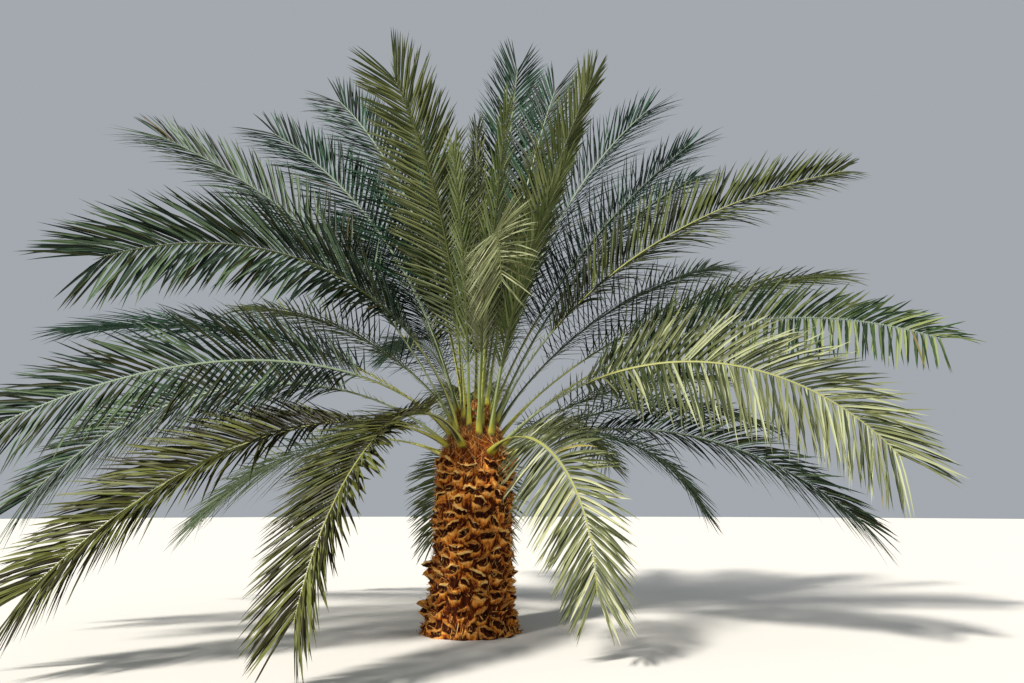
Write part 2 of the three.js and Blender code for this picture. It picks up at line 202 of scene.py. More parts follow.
def habit(pitch, width, reach, turn, forward, hang, lifts, hanging=0.5, raised=0, last=0.66, rib="pale"):
    """How a frond carries its leaflets, and the tone of its rib's crest. Angles are in degrees.

    Pitch, width and reach are shares of the usual ones; turn is about the leaflet's own line. Forward holds
    the angles to the rib at the frond's foot and tip, to which hang is added where leaflets hang. Lifts are
    those of a cluster's three, of which hanging leaves a share. Raised lifts one rank further: above zero
    the right-hand one, below zero the left-hand one. Last is the shortest length at the tip.
    """
    return SimpleNamespace(**locals())


HABITS = {
    "broad": habit(0.68, 0.86, 1.0, 8, (62, 34), 26, (26, 12, 20), rib="yellow"),
    "lens": habit(0.9, 1.12, 0.86, 4, (62, 38), 74, (30, 12, 20), 0.2),
    "usual": habit(0.84, 0.8, 1.0, 16, (62, 30), 12, (28, 12, 20)),
    "fine": habit(0.95, 0.64, 1.0, 42, (62, 24), 6, (48, -14, 18)),
    "dense": habit(0.6, 0.84, 1.0, 10, (62, 36), 8, (24, 12, 18), 0.7, rib="green"),
    "tall": habit(0.58, 0.84, 1.1, 10, (62, 36), 8, (24, 12, 18), 0.7, rib="green"),
    "tapered": habit(0.72, 0.84, 1.0, 20, (66, 50), 4, (36, 12, 22), last=0.3, rib="yellow"),
    "combed": habit(0.52, 0.94, 1.04, 8, (64, 44), 2, (26, 14, 20), 2.4, rib="yellow"),
    "narrow": habit(0.66, 0.74, 0.88, 12, (58, 20), 0, (26, 12, 20), 1.0, -44, 0.5, "green"),
    "slim": habit(1.0, 0.6, 0.66, 20, (30, 14), 0, (36, 10, 24), 1.0, rib="green"),
    "broom": habit(0.6, 0.44, 0.9, 30, (36, 58), 0, (20, -10, 6), rib="green"),
}


def frond(name, heading, rise, droop, length, bend=1.3, twist=0, habit="usual", tone="olive"):
    """A frond's heading, rise from the heart, droop by its tip, length, lateness of the droop and twist."""
    habit = HABITS[habit]
    slot = "leaf_olive" if heading > 180 else "leaf_blue_green"
    if tone in ("pale", "straw"):
        slot = "leaf_pale"
    return SimpleNamespace(**locals())


# The fronds of each group in the order of their numbers
CROWN = {
    "left": [
        (227, 86, 32, 2.8, 1.6, 45, "tall", "shade"),
        (152, 79, 33, 3.45, 1.4, -55, "usual", "green"),
        (164, 76, 42, 3.35, 1.1, -50, "usual", "green"),
        (185, 64, 41, 3.45, 1.1, -45, "usual", "deep"),
        (226, 82, 111, 3.2, 0.75, -60, "dense", "deep"),
        (172, 59, 63, 3.55, 0.5, -12, "fine", "green"),
        (200, 67, 99, 3.3, 0.5, -65, "usual", "deep"),
        (184, 47, 97, 3.5, 0.8, -50, "usual", "deep"),
        (212, 46, 96, 3.05, 0.5, -30, "combed", "umber"),
        (148, 29, 63, 3.15, 0.65, -30, "fine", "fresh"),
        (249, 54, 126, 2.6, 0.6, 20, "combed", "umber"),
        (103, 31, 82, 2.25, 0.6),
        (149, 67, 58, 2.9, 0.5, -20, "fine"),
        (110, 52, 60, 3.6, 1.0, -25, "fine", "green"),
    ],
    "crest": [
        (68, 77, 1, 3.65, 1.3, 30, "usual", "green"),
        (46, 80, 13, 3.3, 1.3, 20, "usual", "green"),
        (326, 80, 19, 2.85, 1.0, -50, "narrow", "shade"),
        (22, 76, 32, 3.35, 1.35, 40, "fine", "green"),
        (23, 75, 34, 3.45, 0.6, 30, "fine", "green"),
        (35, 68, 37, 3.75, 0.85, 25, "fine", "green"),
        (347, 71, 64, 3.45, 0.8, 45, "tapered", "dusk_painted_shade"),
        (38, 63, 45, 3.6, 0.55, 20, "fine", "deep"),
    ],
    "right": [
        (20, 55, 46, 3.85, 0.6, 15, "fine"),
        (357, 46, 65, 3.7, 1.0, 55, "lens", "fresh"),
        (339, 46, 99, 3.15, 1.05, 65, "broad", "pale"),
        (19, 33, 49, 2.45, 0.95, 20, "fine", "deep"),
        (350, 28, 71, 2.75, 0.85, 30, "usual", "deep"),
        (32, 29, 82, 2.4, 1.1, 30, "fine", "deep"),
        (60, 35, 62, 2.5, 0.8, 0, "fine"),
        (301, 36, 125, 1.9, 0.8, 60, "broad", "straw"),
    ],
    "front": [
        (277, 84, 165, 2.6, 1.8, 50, "broom", "grey"),
        (257, 86, 22, 2.2, 1.3, 0, "slim"),
        (300, 75, 36, 2.2, 1.3, 0, "slim"),
    ],
    "back": [
        (88, 31, 105, 2.45, 0.8),
        (88, 58, 55, 3.5, 1.3, 20),
        (128, 34, 82, 3, 0.9),
        (130, 63, 42, 3.6, 1.3, -30, "usual", "green"),
        (75, 70, 30, 3.5),
        (117, 76, 25, 3.45, 1.3, 0, "usual", "green"),
        (34, 37, 34, 2.7, 0.75, 15, "fine"),
        (95, 42, 72, 3.3, 1.0),
    ],
    "young": [
        (95, 86, 10, 2.7, 1.3, 0, "slim"),
        (185, 84, 14, 2.9, 1.3, 0, "slim"),
        (290, 84, 18, 2.5, 1.3, 0, "slim"),
    ],
}
FRONDS = [frond(f"{group}_{number}", *row)
          for group, rows in CROWN.items() for number, row in enumerate(rows, 1)]


def mix(start, end, share):
    """The value at a share of the way from start to end."""
    return start + (end - start) * share


def smooth(low, high, value):
    """Rises from 0 at low to 1 at high, level at both: 3t squared less 2t cubed."""
    t = np.clip((value - low) / (high - low), 0, 1)
    return t * t * (3 - 2 * t)


def chance(a, b):
    """A repeatable number from 0 to 1 for a pair of counts: the fraction of a large multiple of a sine."""
    wave = np.sin(a * 12.9898 + b * 78.233) * 43758.5453
    return wave - np.floor(wave)


def drawn(seed, ranges, *shape):
    """Numbers by name, from a seed or a generator, drawn in the order of the ranges.

    A range has a low end, a high end and perhaps a power of the draw, which favours the low end.
    """
    shares = np.random.default_rng(seed).uniform(0, 1, (len(ranges), *shape))
    return SimpleNamespace(**{name: mix(low, high, share ** (power[0] if power else 1))
                              for (name, (low, high, *power)), share in zip(ranges.items(), shares)})


def unit(vectors):
    """The vectors, each divided by its own length."""
    return vectors / np.maximum(np.linalg.norm(vectors, axis=-1, keepdims=True), 1e-9)


def full_turn(count):
    """Even angles round a circle, in radians."""
    return np.arange(count) / count * 2 * math.pi


def roughness(points, grain, seed=0.0, octaves=3):
    """Soft random relief at points: lattice values from -1 to 1, blended by their smoothed shares of a cell.

    Each octave halves both the grain, which may differ along the axes, and the height.
    """
    total = np.zeros(points.shape[:-1])
    weight = 1.0
    for octave in range(octaves):
        place = points / (np.asarray(grain) / 2 ** octave)
        cell = np.floor(place)
        within = place - cell
        within = within * within * (3 - 2 * within)
        blend = 0
        for corner in np.ndindex(2, 2, 2):
            at = cell + corner
            value = chance(at[..., 0] + 37.7 * at[..., 1] + seed, at[..., 2] + octave * 11.3)
            share = np.prod(np.where(corner, within, 1 - within), axis=-1)
            blend = blend + share * (2 * value - 1)
        total += weight * blend
        weight *= 0.5
    return total


# Joined meshes

class Heap:
    """Points and faces that gather here, batch by batch, and end up joined in one piece."""

    def __init__(self):
        self.count = 0
        self.points = []
        self.corners = []
        self.finishes = []
        self.values = []

    def add(self, points, faces, value=None):
        """Adds points and pairs of face corners and finish numbers; value is one number for each point."""
        points = points.reshape(-1, 3)
        for corners, finish in faces:
            self.corners.append(corners + self.count)
            self.finishes.append(np.broadcast_to(finish, len(corners)))
        self.points.append(points)
        self.values.append(np.zeros(len(points)) if value is None else np.broadcast_to(value, len(points)))
        self.count += len(points)

    def triangles(self):
        """How many triangles the faces make: two fewer than the corners of each."""
        return sum(len(corners) * (corners.shape[1] - 2) for corners in self.corners)


def place(name, data):
    """A new object in the scene for a mesh, a lamp or a camera."""
    thing = bpy.data.objects.new(name, data)
    bpy.context.scene.collection.objects.link(thing)
    return thing


def add_piece(name, heap, finishes, slot, nodes=(), crease=None):
    """Makes the heap one mesh that rides on the tree and takes its finishes in their order.

    A crease is the angle from which edges stay sharp; without one every face is flat.
    """
    mesh = bpy.data.meshes.new(name)
    mesh.vertices.add(heap.count)
    mesh.vertices.foreach_set("co", np.concatenate(heap.points).astype(np.float32).ravel())
    sizes = np.concatenate([np.full(len(corners), corners.shape[1]) for corners in heap.corners])
    starts = np.concatenate([[0], np.cumsum(sizes)[:-1]])
    mesh.loops.add(int(sizes.sum()))
    corners = np.concatenate([corners.ravel() for corners in heap.corners])
    mesh.loops.foreach_set("vertex_index", corners.astype(np.int32))
    mesh.polygons.add(len(sizes))
    mesh.polygons.foreach_set("loop_start", starts.astype(np.int32))
    mesh.polygons.foreach_set("material_index", np.concatenate(heap.finishes).astype(np.int32))
    mesh.polygons.foreach_set("use_smooth", np.full(len(sizes), crease is not None))
    grow = mesh.attributes.new("grow", "FLOAT", "POINT")
    grow.data.foreach_set("value", np.concatenate(heap.values).astype(np.float32))
    mesh.update(calc_edges=True)
    if crease is not None:
        mesh.set_sharp_from_angle(angle=math.radians(crease))
    for finish in finishes:
        mesh.materials.append(finish)
    piece = place(name, mesh)
    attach(piece, "root")
    if nodes:
        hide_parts(*nodes)


def tube_faces(batch, rings, sides, strips, ends, tips=None):
    """Face corners and their finishes for a batch of tubes, whose points lie ring by ring.

    A tube is closed at both ends, or runs out to its last point where tips holds finishes for that.
    """
    start = np.arange(batch)[:, None] * (rings * sides + (tips is not None))
    side = np.arange(sides)
    beside = (side + 1) % sides
    ring = start[:, None] + np.arange(rings - 1)[:, None] * sides
    quads = np.stack([ring + side, ring + beside, ring + beside + sides, ring + side + sides], axis=-1)
    quads = quads.reshape(-1, 4)
    foot = start + side[::-1]
    last = start + (rings - 1) * sides
    if tips is None:
        return [(quads, strips), (np.concatenate([foot, last + side]), ends)]
    point = np.broadcast_to(last + sides, (batch, sides))
    ran_out = np.stack([last + side, last + beside, point], axis=-1).reshape(-1, 3)
    return [(quads, strips), (foot, ends), (ran_out, tips)]


def add_spikes(heap, rings, tips, strips, foot):
    """A batch of tubes that are closed at the foot and run out to a point.

    Rings has the axes tube, ring, side and xyz. Strips holds a finish for each side of each tube, and foot
    one for each closed end.
    """
    batch, count, sides = rings.shape[:3]
    points = np.concatenate([rings.reshape(batch, -1, 3), tips[:, None]], axis=1)
    lengthwise = np.repeat(strips[:, None], count - 1, axis=1).ravel()
    heap.add(points, tube_faces(batch, count, sides, lengthwise, foot, strips.ravel()))


def add_strands(heap, lines, radii, finish, sides=3):
    """Thin tapering rods along lines, which hold one row of points for each rod.

    A ring stands square to the line at each point but the last, which is the rod's tip.
    """
    along = unit(np.gradient(lines, axis=1))[:, :-1]
    across = unit(np.cross(along, np.array([0.31, 0.19, 0.93])))
    over = np.cross(across, along)
    angle = full_turn(sides)
    ring = across[:, :, None] * np.cos(angle)[:, None] + over[:, :, None] * np.sin(angle)[:, None]
    finish = np.broadcast_to(finish, len(lines))
    rings = lines[:, :-1, None] + ring * radii[:, :, None, None]
    add_spikes(heap, rings, lines[:, -1], np.repeat(finish[:, None], sides, axis=1), finish)


# Finishes

def colour(code):
    """A colour given as six hexadecimal digits, in the linear light that the shader takes."""
    shares = [int(code[k:k + 2], 16) / 255 for k in (0, 2, 4)]
    return [s / 12.92 if s <= 0.04045 else ((s + 0.055) / 1.055) ** 2.4 for s in shares] + [1.0]


class Wire:
    """A number that varies over the surface. Python's operators on it add Math nodes."""

    def __init__(self, paint, socket):
        self.paint = paint
        self.socket = socket

    def maths(self, operation, *values):
        """The result of one Math node."""
        node = self.paint.node("ShaderNodeMath", {"operation": operation}, dict(enumerate(values)))
        return Wire(self.paint, node.outputs[0])

    def __add__(self, other):
        return self.maths("ADD", self, other)

    def __sub__(self, other):
        return self.maths("SUBTRACT", self, other)

    def __rsub__(self, other):
        return self.maths("SUBTRACT", other, self)

    def __mul__(self, other):
        return self.maths("MULTIPLY", self, other)

    __radd__ = __add__
    __rmul__ = __mul__

    def clip(self):
        """The number, held between 0 and 1."""
        return self.maths("MINIMUM", self.maths("MAXIMUM", self, 0.0), 1.0)

    def ramp(self, stops):
        """A colour from the number: the stops are places from 0 to 1, each with its colour code."""
        words = stops.split()
        pairs = list(zip(map(float, words[::2]), words[1::2]))
        return self.paint.node("ShaderNodeValToRGB", {"stops": pairs}, {0: self}).outputs[0]


class Paint:
    """A material with one Principled shader, whose base colour, roughness and shine start out plain."""

    def __init__(self, name, base, rough, shine=0.15):
        self.material = bpy.data.materials.new(name)
        self.material.use_nodes = True
        self.tree = self.material.node_tree
        self.shader = self.tree.nodes["Principled BSDF"]
        self.shader.inputs["Base Color"].default_value = colour(base)
        self.shader.inputs["Roughness"].default_value = rough
        self.shader.inputs["Specular IOR Level"].default_value = shine
        self.material.diffuse_color = colour(base)

    def feed(self, socket, value):
        """Gives a socket a varying number, another node's output, a colour code or a plain value."""
        if isinstance(value, Wire):
            value = value.socket
        if isinstance(value, bpy.types.NodeSocket):
            self.tree.links.new(value, socket)
        else:
            socket.default_value = colour(value) if isinstance(value, str) else value

    def node(self, kind, settings=None, values=None):
        """Adds a node: settings first, a ramp's stops among them, then values or links by socket."""
        node = self.tree.nodes.new(kind)
        for key, value in (settings or {}).items():
            if key == "stops":
                band = node.color_ramp
                while len(band.elements) < len(value):
                    band.elements.new(1.0)
                for element, (place, code) in zip(band.elements, value):
                    element.position = place
                    element.color = colour(code)
            else:
                setattr(node, key, value)
        for key, value in (values or {}).items():
            self.feed(node.inputs[key], value)
        return node

    def noise(self, scale, detail=4.0, stretch=(1, 1, 1), distortion=0.0):
        """Cloudy numbers round 0.5, so many to the metre, times the stretch along each axis."""
        where = self.node("ShaderNodeTexCoord").outputs["Object"]
        place = self.node("ShaderNodeMapping", None, {"Vector": where, "Scale": stretch}).outputs[0]
        values = {"Vector": place, "Scale": scale, "Detail": detail, "Distortion": distortion}
        return Wire(self, self.node("ShaderNodeTexNoise", None, values).outputs[0])

    def grow(self):
        """The number that each point carries."""
        return Wire(self, self.node("ShaderNodeAttribute", {"attribute_name": "grow"}).outputs["Fac"])

    def blend(self, share, first, second):
        """Mixes two colours, each a colour code or a socket."""
        node = self.node("ShaderNodeMix", {"data_type": "RGBA"})
        sockets = {socket.identifier: socket for socket in node.inputs}
        self.feed(sockets["Factor_Float"], share)
        self.feed(sockets["A_Color"], first)
        self.feed(sockets["B_Color"], second)
        return next(socket for socket in node.outputs if socket.identifier == "Result_Color")

    def set(self, base, rough=None, height=None, depth=0.0):
        """Links the base colour, the roughness, and a relief that is so deep in metres."""
        self.feed(self.shader.inputs["Base Color"], base)
        if rough is not None:
            self.feed(self.shader.inputs["Roughness"], rough)
        if height is not None:
            bump = self.node("ShaderNodeBump", None, {"Height": height, "Distance": depth, "Strength": 1.0})
            self.feed(self.shader.inputs["Normal"], bump.outputs[0])
        return self.material


def plain(name, code, rough, shine=0.3):
    """A finish of one colour, for leaflets and other thin things, which are dealt out in several shades."""
    return Paint(name, code, rough, shine).material


def boot_face_finish():
    """Old leaf base: golden brown with darker streaks along its fibres, and painted shade towards its root.

    The number on its points, low at the boot's root and edges, paints shade into the gaps where it meets
    the trunk, and the noises that raise its relief also darken its hollows as painted shade.
    """
    paint = Paint("boot_face", "a8672a", 0.8)
    streaks = paint.noise(55, 5.0, (1, 1, 0.16), 0.6)
    blotches = paint.noise(11, 4.0)
    # Painted shade: the number on the points darkens the boot towards its root and edges, down in the gaps
    tone = streaks * 0.95 + blotches * 0.9 + paint.grow() * 0.7 - 0.98
    base = tone.clip().ramp("0 2a0700 0.18 702a06 0.36 c87c26 0.6 f0b45e 1 fbdca0")
    return paint.set(base, 0.9 - streaks * 0.25, streaks + blotches * 0.5, 0.006)


def boot_hollow_finish():
    """The pith of a cut boot: its own dark brown, pitted, painted near black as the shade under the rim
    and down in its pits.
    """
    paint = Paint("boot_hollow", "3a2110", 0.95)
    pits = paint.noise(70, 4.0)
    # Painted shade: the darkest colours fall where the pits sink
    return paint.set(pits.ramp("0.3 160400 0.55 3e1604 0.8 7c4618"), None, pits, 0.006)


# The fibrous finishes by name: base and roughness, a fine and a broad noise, the share of each and what is
# taken off, the colours from the darkest, painted as shade in the relief's hollows, up, and the depth of the
# relief
RIM_NOISES = ((90, 5.0, (1, 1, 0.5)), (14, 3.0), (0.6, 0.7, 0.15))
FIBROUS = {
    # The lit rim: pale cut fibre, lighter still as a painted highlight where the light catches the lip
    "boot_rim": ("e4bf78", 0.75, *RIM_NOISES, "0 7a4512 0.35 c8913c 0.6 e4bf78 1 f4e4bc", 0.003),
    # The darker rim: wear on some lips, and painted shade on every lower lip, under the hollow
    "boot_rim_worn_and_shaded": ("bc8440", 0.75, *RIM_NOISES, "0 4a200a 0.35 8e5620 0.6 bc8440 1 dcb47a", 0.003),
    "trunk_core": ("3b2212", 0.95, (70, 5.0, (1, 1, 0.2), 1.2), (9, 3.0), (0.8, 0.4, 0.1),
                   "0.25 120300 0.5 3a1402 0.7 743607 0.95 ab6818", 0.008),
    "heart_fibre": ("9a5626", 0.95, (80, 5.0, (1, 1, 0.4), 1.5), (13, 4.0), (0.8, 0.8, 0.32),
                    "0.15 120400 0.4 5a2405 0.62 a4540f 0.9 d08a34", 0.008),
}


def fibrous_finish(name):
    """Lips, matted core or woven sheaths: two noises pick the colour, and the fine one is the relief.

    The fine noise is partly the fibre's own grain and partly painted shade: where it sinks, so does the
    colour.
    """
    base, rough, fine, broad, (fine_share, broad_share, less), colours, depth = FIBROUS[name]
    paint = Paint(name, base, rough)
    grain = paint.noise(*fine)
    # Painted shade: the colour darkens where the fine noise lowers the relief
    tone = grain * fine_share + paint.noise(*broad) * broad_share - less
    return paint.set(tone.clip().ramp(colours), None, grain, depth)


def petiole_finish(name, near, far):
    """Leaf stalk: brown in the fibre, lime where it leaves it, then its near and its far colour.

    The number on its points is the distance from where it leaves the heart, in metres, plus a tenth.
    """
    paint = Paint(name, near, 0.42, 0.4)
    streaks = paint.noise(34, 4.0, (1, 1, 0.3))
    along = paint.grow() + (streaks - 0.5) * 0.05
    base = along.ramp(f"0 2c1608 0.085 5e3d14 0.115 a39c2a 0.2 {near} 0.75 {far} 1 {far}")
    return paint.set(paint.blend((streaks * 1.6 - 0.6).clip() * 0.5, base, "39401a"))


# Three finishes for the stalks, then two for their margins: the near and the far colour of each
PETIOLE_FINISHES = {
    "stalk_olive": ("3c4614", "3f4e22"),
    "stalk_lime": ("727822", "586832"),
    "stalk_deep": ("1f280c", "293a20"),
    "margin_straw": ("a8a44c", "969c60"),
    "margin_grey": ("869260", "86947a"),
}
STALKS, MARGINS = 3, 2
RIB_TONES = {"green": "454c20", "pale": "7c8c70", "yellow": "8a8c4c"}
FIBRE_TONES = {"orange": "a85c1a", "straw": "cf9f58", "dark": "3a1808"}

# The leaflets' shades by tone: the upper faces' from dark to light, then the dry one, and the lower faces'
# The tones carry painted light as well as the leaflets' own colour: pale, straw and fresh are lighter for
# fronds in the sun, and deep and green darker and bluer for fronds in shade
LEAF_SHADES = {
    "olive": ("141a06 252d0d 3e461a 636a34 544a20", "424e26 667046"),
    "shade": ("0f1404 20270a 363d14 6c7244 44360f", "363f1c 5a6038"),
    # Painted shade: the shade tone with its lighter shades darkened, for a frond that stands in shade
    "dusk_painted_shade": ("171c08 262d10 353d18 4c542a 44360f", "323a1a 484f28"),
    "umber": ("22200a 2e2f0b 414415 5d622e 584818", "484c22 6a7040"),
    "deep": ("0e1a0c 2c3012 2c3e2e 54674a 4c4018", "374737 50644c"),
    "green": ("08160c 101f10 183120 2c4c36 443f20", "20382a 2e4e3c"),
    "fresh": ("1e2e1a 34482a 525f36 7e8858 6a6038", "5e7052 7a8a6c"),
    "grey": ("3c3e22 5a603e 70764f 989c78 766a38", "787c5a 9a9e7c"),
    "straw": ("3e4428 606642 828660 a9aa86 8c8248", "868a68 a9ac8c"),
    "pale": ("343c22 555a38 6d724c 979c76 8a8050", "767a5a 9ea284"),
}
UPPER_SHADES, LOWER_SHADES = 4, 2
DRY_SHARE = 0.008
# Painted shade near a frond's foot, in the inner crown: how much darker, and the shares over which it fades
INNER_DARKNESS = 3.6
INNER_END = (0.05, 0.5)
UPPER_ROUGH = 0.5
LOWER_ROUGH = 0.6
LEAF_SHINE = 0.2


def leaf_finishes(tone):
    """A tone's finishes: the upper shades, the dry one and the lower shades."""
    return [plain(f"{tone}_{side}_{k}", code, rough, LEAF_SHINE)
            for side, rough, codes in zip(("upper", "lower"), (UPPER_ROUGH, LOWER_ROUGH), LEAF_SHADES[tone])
            for k, code in enumerate(codes.split())]


# Trunk and heart

def lean_at(height):
    """How far the axis stands to the right: in proportion to the height, up to the trunk's top."""
    return TRUNK_LEAN * np.minimum(height, TRUNK_TOP) / TRUNK_TOP


def trunk_radius(height):
    """A straight taper, with a flare at the foot that fades exponentially."""
    height = np.maximum(height, 0)
    return TRUNK_RADIUS + TRUNK_TAPER * (1 - height / TRUNK_TOP) + FLARE * np.exp(-height / FLARE_HEIGHT)


def heart_radius(height):
    """A dome, which loses its radius by a power of the height above the trunk."""
    risen = np.clip((height - TRUNK_TOP) / HEART_FADE, 0, 1)
    return HEART_RADIUS * (1 - risen ** HEART_FADE_POWER)


def round_trunk(angle, radius, height):
    """Points at an angle, a distance from the leaning axis, and a height."""
    across = lean_at(height) + radius * np.cos(angle)
    return np.stack(np.broadcast_arrays(across, radius * np.sin(angle), height), axis=-1)


def boots():
    """Every boot's row, angle, lip height and projection, with one row on the heart.

    They stand evenly round the trunk, every other row half a boot further on.
    """
    row, column = np.divmod(np.arange(BOOTS_AROUND * (BOOT_ROWS + HEART_BOOT_ROWS)), BOOTS_AROUND)
    angle = (column + (row % 2) / 2) * 2 * math.pi / BOOTS_AROUND
    lip = BOOT_FIRST_LIP + row * BOOT_ROW_RISE
    projection = BOOT_PROJECTION * (1 + BOOT_VARIATION * (2 * chance(row, column) - 1))
    for (stump_row, stump_column), length in LONG_STUMPS.items():
        projection[(row == stump_row) & (column == stump_column)] = length
    return row, column, angle, lip, projection


def boot_relief(angle, height):
    """How far the solids' boots stand out: wedges that grow to the lip, highest along the middle."""
    relief = np.zeros(np.broadcast(angle, height).shape)
    step = 2 * math.pi / BOOTS_AROUND
    row, _, centre, lip, projection = boots()
    for k in np.flatnonzero(row < BOOT_ROWS):
        below = lip[k] - height
        turned = np.angle(np.exp(1j * (angle - centre[k])))
        across = np.abs(turned) / step / BOOT_HALF_WIDTH
        rise = projection[k] * (1 - across ** 2) * (1 - below / BOOT_LENGTH)
        relief = np.maximum(relief, np.where((below >= 0) & (below <= BOOT_LENGTH), rise, 0))
    return relief


def stem_radius(height, off=(0, 0)):
    """The radius of the trunk and, above it, of the heart, each with its own distance off."""
    return np.where(height < TRUNK_TOP, trunk_radius(height) + off[0], heart_radius(height) + off[1])


def closed_shell(points):
    """A heap that holds one upright tube of rings, closed by a cap at both ends."""
    heap = Heap()
    heap.add(points, tube_faces(1, *points.shape[:2], 0, 0))
    return heap


def trunk_shaft():
    """The solids' radius plus a share of the boots' relief, roughened by upright fibre ridges."""
    angle = full_turn(TRUNK_COLUMNS)
    height = np.linspace(0, TRUNK_TOP, TRUNK_ROWS)[:, None]
    radius = trunk_radius(height) + CORE_SHARE * boot_relief(angle, height)
    ridges = roughness(round_trunk(angle, radius, height), RIDGE_GRAIN, seed=3)
    return closed_shell(round_trunk(angle, radius + RIDGE_RELIEF * (ridges - RIDGE_SINK), height))


def heart_dome():
    """The solids' dome, matted by relief in two sizes: added mats, less the size of the finer threads."""
    angle = full_turn(HEART_COLUMNS)
    height = np.linspace(TRUNK_TOP + CLEARANCE, HEART_TOP, HEART_ROWS)[:, None]
    radius = heart_radius(height) + 0 * angle
    points = round_trunk(angle, radius, height)
    mats = roughness(points, MAT_GRAIN, seed=5)
    threads = np.abs(roughness(points, THREAD_GRAIN, seed=6, octaves=2))
    relief = MAT_RELIEF * (mats - 0.2) - THREAD_RELIEF * threads
    return closed_shell(round_trunk(angle, radius + relief, height))


# A boot's outline in the upright plane through its middle: how far out, as a share of its projection, how
# high against its lip, how much of the cup it takes, which rounds the cut end downwards in its middle, and
# the finish of the strip from there on. It runs up the face, round the hollow, over the rim and back.
FACE, HOLLOW, RIM, WORN_RIM = 0, 1, 2, 3
BOOT_OUTLINE = [
    (-0.60, -0.135, 0.0, FACE), (0.02, -0.114, 0.0, FACE), (0.26, -0.092, 0.1, FACE),
    (0.48, -0.071, 0.25, FACE), (0.68, -0.052, 0.5, FACE), (0.84, -0.036, 0.8, FACE),
    (0.95, -0.026, 1.0, RIM), (0.93, -0.021, 1.0, HOLLOW), (0.62, -0.018, 0.8, HOLLOW),
    (0.34, -0.014, 0.5, HOLLOW), (0.26, -0.009, 0.2, HOLLOW), (0.60, -0.005, 0.0, HOLLOW),
    (0.98, -0.001, 0.0, RIM), (1.10, 0.004, 0.0, RIM), (1.02, 0.010, 0.0, RIM),
    (0.74, 0.014, 0.0, FACE), (0.26, 0.026, 0.0, FACE), (-0.60, 0.046, 0.0, FACE),
]


def trunk_boots():
    """The boots: each is its outline carried across from edge to edge.

    It stands out most along a keel off its middle, and sinks into the trunk towards both edges by a power
    of the distance from the keel. Seeded numbers give each its own width, reach, height of lip, tilt and bow,
    and a torn relief frays it. The rim, pale cut fibre with a painted highlight where the light catches the
    lip, and the cupped hollow, painted dark as its shade, take up only its middle.
    """
    row, column, angle, lip, projection = (values[:, None, None] for values in boots())
    count = len(row)
    own = drawn(SEED, BOOT_RANGES, count, 1, 1)
    out, up, cup, part = np.array(BOOT_OUTLINE).T
    sides = len(BOOT_OUTLINE)
    across = np.linspace(-1, 1, BOOT_SLICES)[None, :, None]
    low = smooth(0.4, 0.1, lip)
    from_keel = np.where(across > own.keel, (across - own.keel) / (1 - own.keel),
                         (own.keel - across) / (1 + own.keel))
    swell = (1 - from_keel ** 1.8) ** 0.8
    inner = out.min()
    reach = projection * (1 + own.reach) * (inner + (out - inner) * swell)
    to_lip = np.clip((up + BOOT_LENGTH) / BOOT_LENGTH, 0, 1)
    half = mix(BOOT_ROOT_WIDTH, BOOT_LIP_WIDTH * (1 + own.width), to_lip) * (1 + 0.12 * low)
    within = np.clip(from_keel / BOOT_CUP_WIDTH, 0, 1)
    cupped = BOOT_CUP * (1 + own.cup) * cup * np.sqrt(1 - within ** 2)
    bow = (own.bow * across ** 2 + own.tilt * across) * to_lip
    height = lip + up * (1 + own.stand) - cupped + own.rise + bow
    shaft = stem_radius(height)
    sideways = across * half + own.shift + own.slide * to_lip
    turned = angle + sideways / (shaft + 0.02)
    turned, reach, shaft, height = np.broadcast_arrays(turned, reach, shaft, height)
    points = round_trunk(turned, shaft + reach, np.maximum(height, 0))
    tear = roughness(points, TEAR_GRAIN, seed=8)
    chips = np.abs(roughness(points, CHIP_GRAIN, seed=9, octaves=2))
    radius = shaft + reach + TEAR_DEPTH * tear - CHIP_DEPTH * chips + FRAY_LIFT
    points = round_trunk(turned, np.maximum(radius, 0.05), height + TEAR_RISE * tear)
    points[..., 2] = np.maximum(points[..., 2], 0)

    strips = np.broadcast_to(part.astype(int), (count, BOOT_SLICES - 1, sides))
    middle = (from_keel[:, 1:] + from_keel[:, :-1]) / 2
    # Darker rims: worn ones, at random and on the low boots, and every lower lip, as painted shade
    worn = (chance(row * 3.1, column + 0.5) < WORN_SHARE) | (low > 0.5) | (up < -0.01)
    strips = np.where((strips == RIM) & worn, WORN_RIM, strips)
    strips = np.where((strips == RIM) & (middle >= own.rim), FACE, strips)
    strips = np.where((strips == HOLLOW) & (middle > BOOT_CUP_WIDTH), FACE, strips)
    # How far out each point stands, which the boot's finish turns into painted shade at its root and edges
    depth = np.broadcast_to(np.clip(out, 0, 1) * swell, (count, BOOT_SLICES, sides))
    heap = Heap()
    heap.add(points, tube_faces(count, BOOT_SLICES, sides, strips.ravel(), FACE), depth.ravel())
    return heap


def fibre_shades(seed, number):
    """A finish for each fibre, drawn evenly from the tones of the fibre."""
    return np.random.default_rng(seed).integers(0, len(FIBRE_TONES), number)


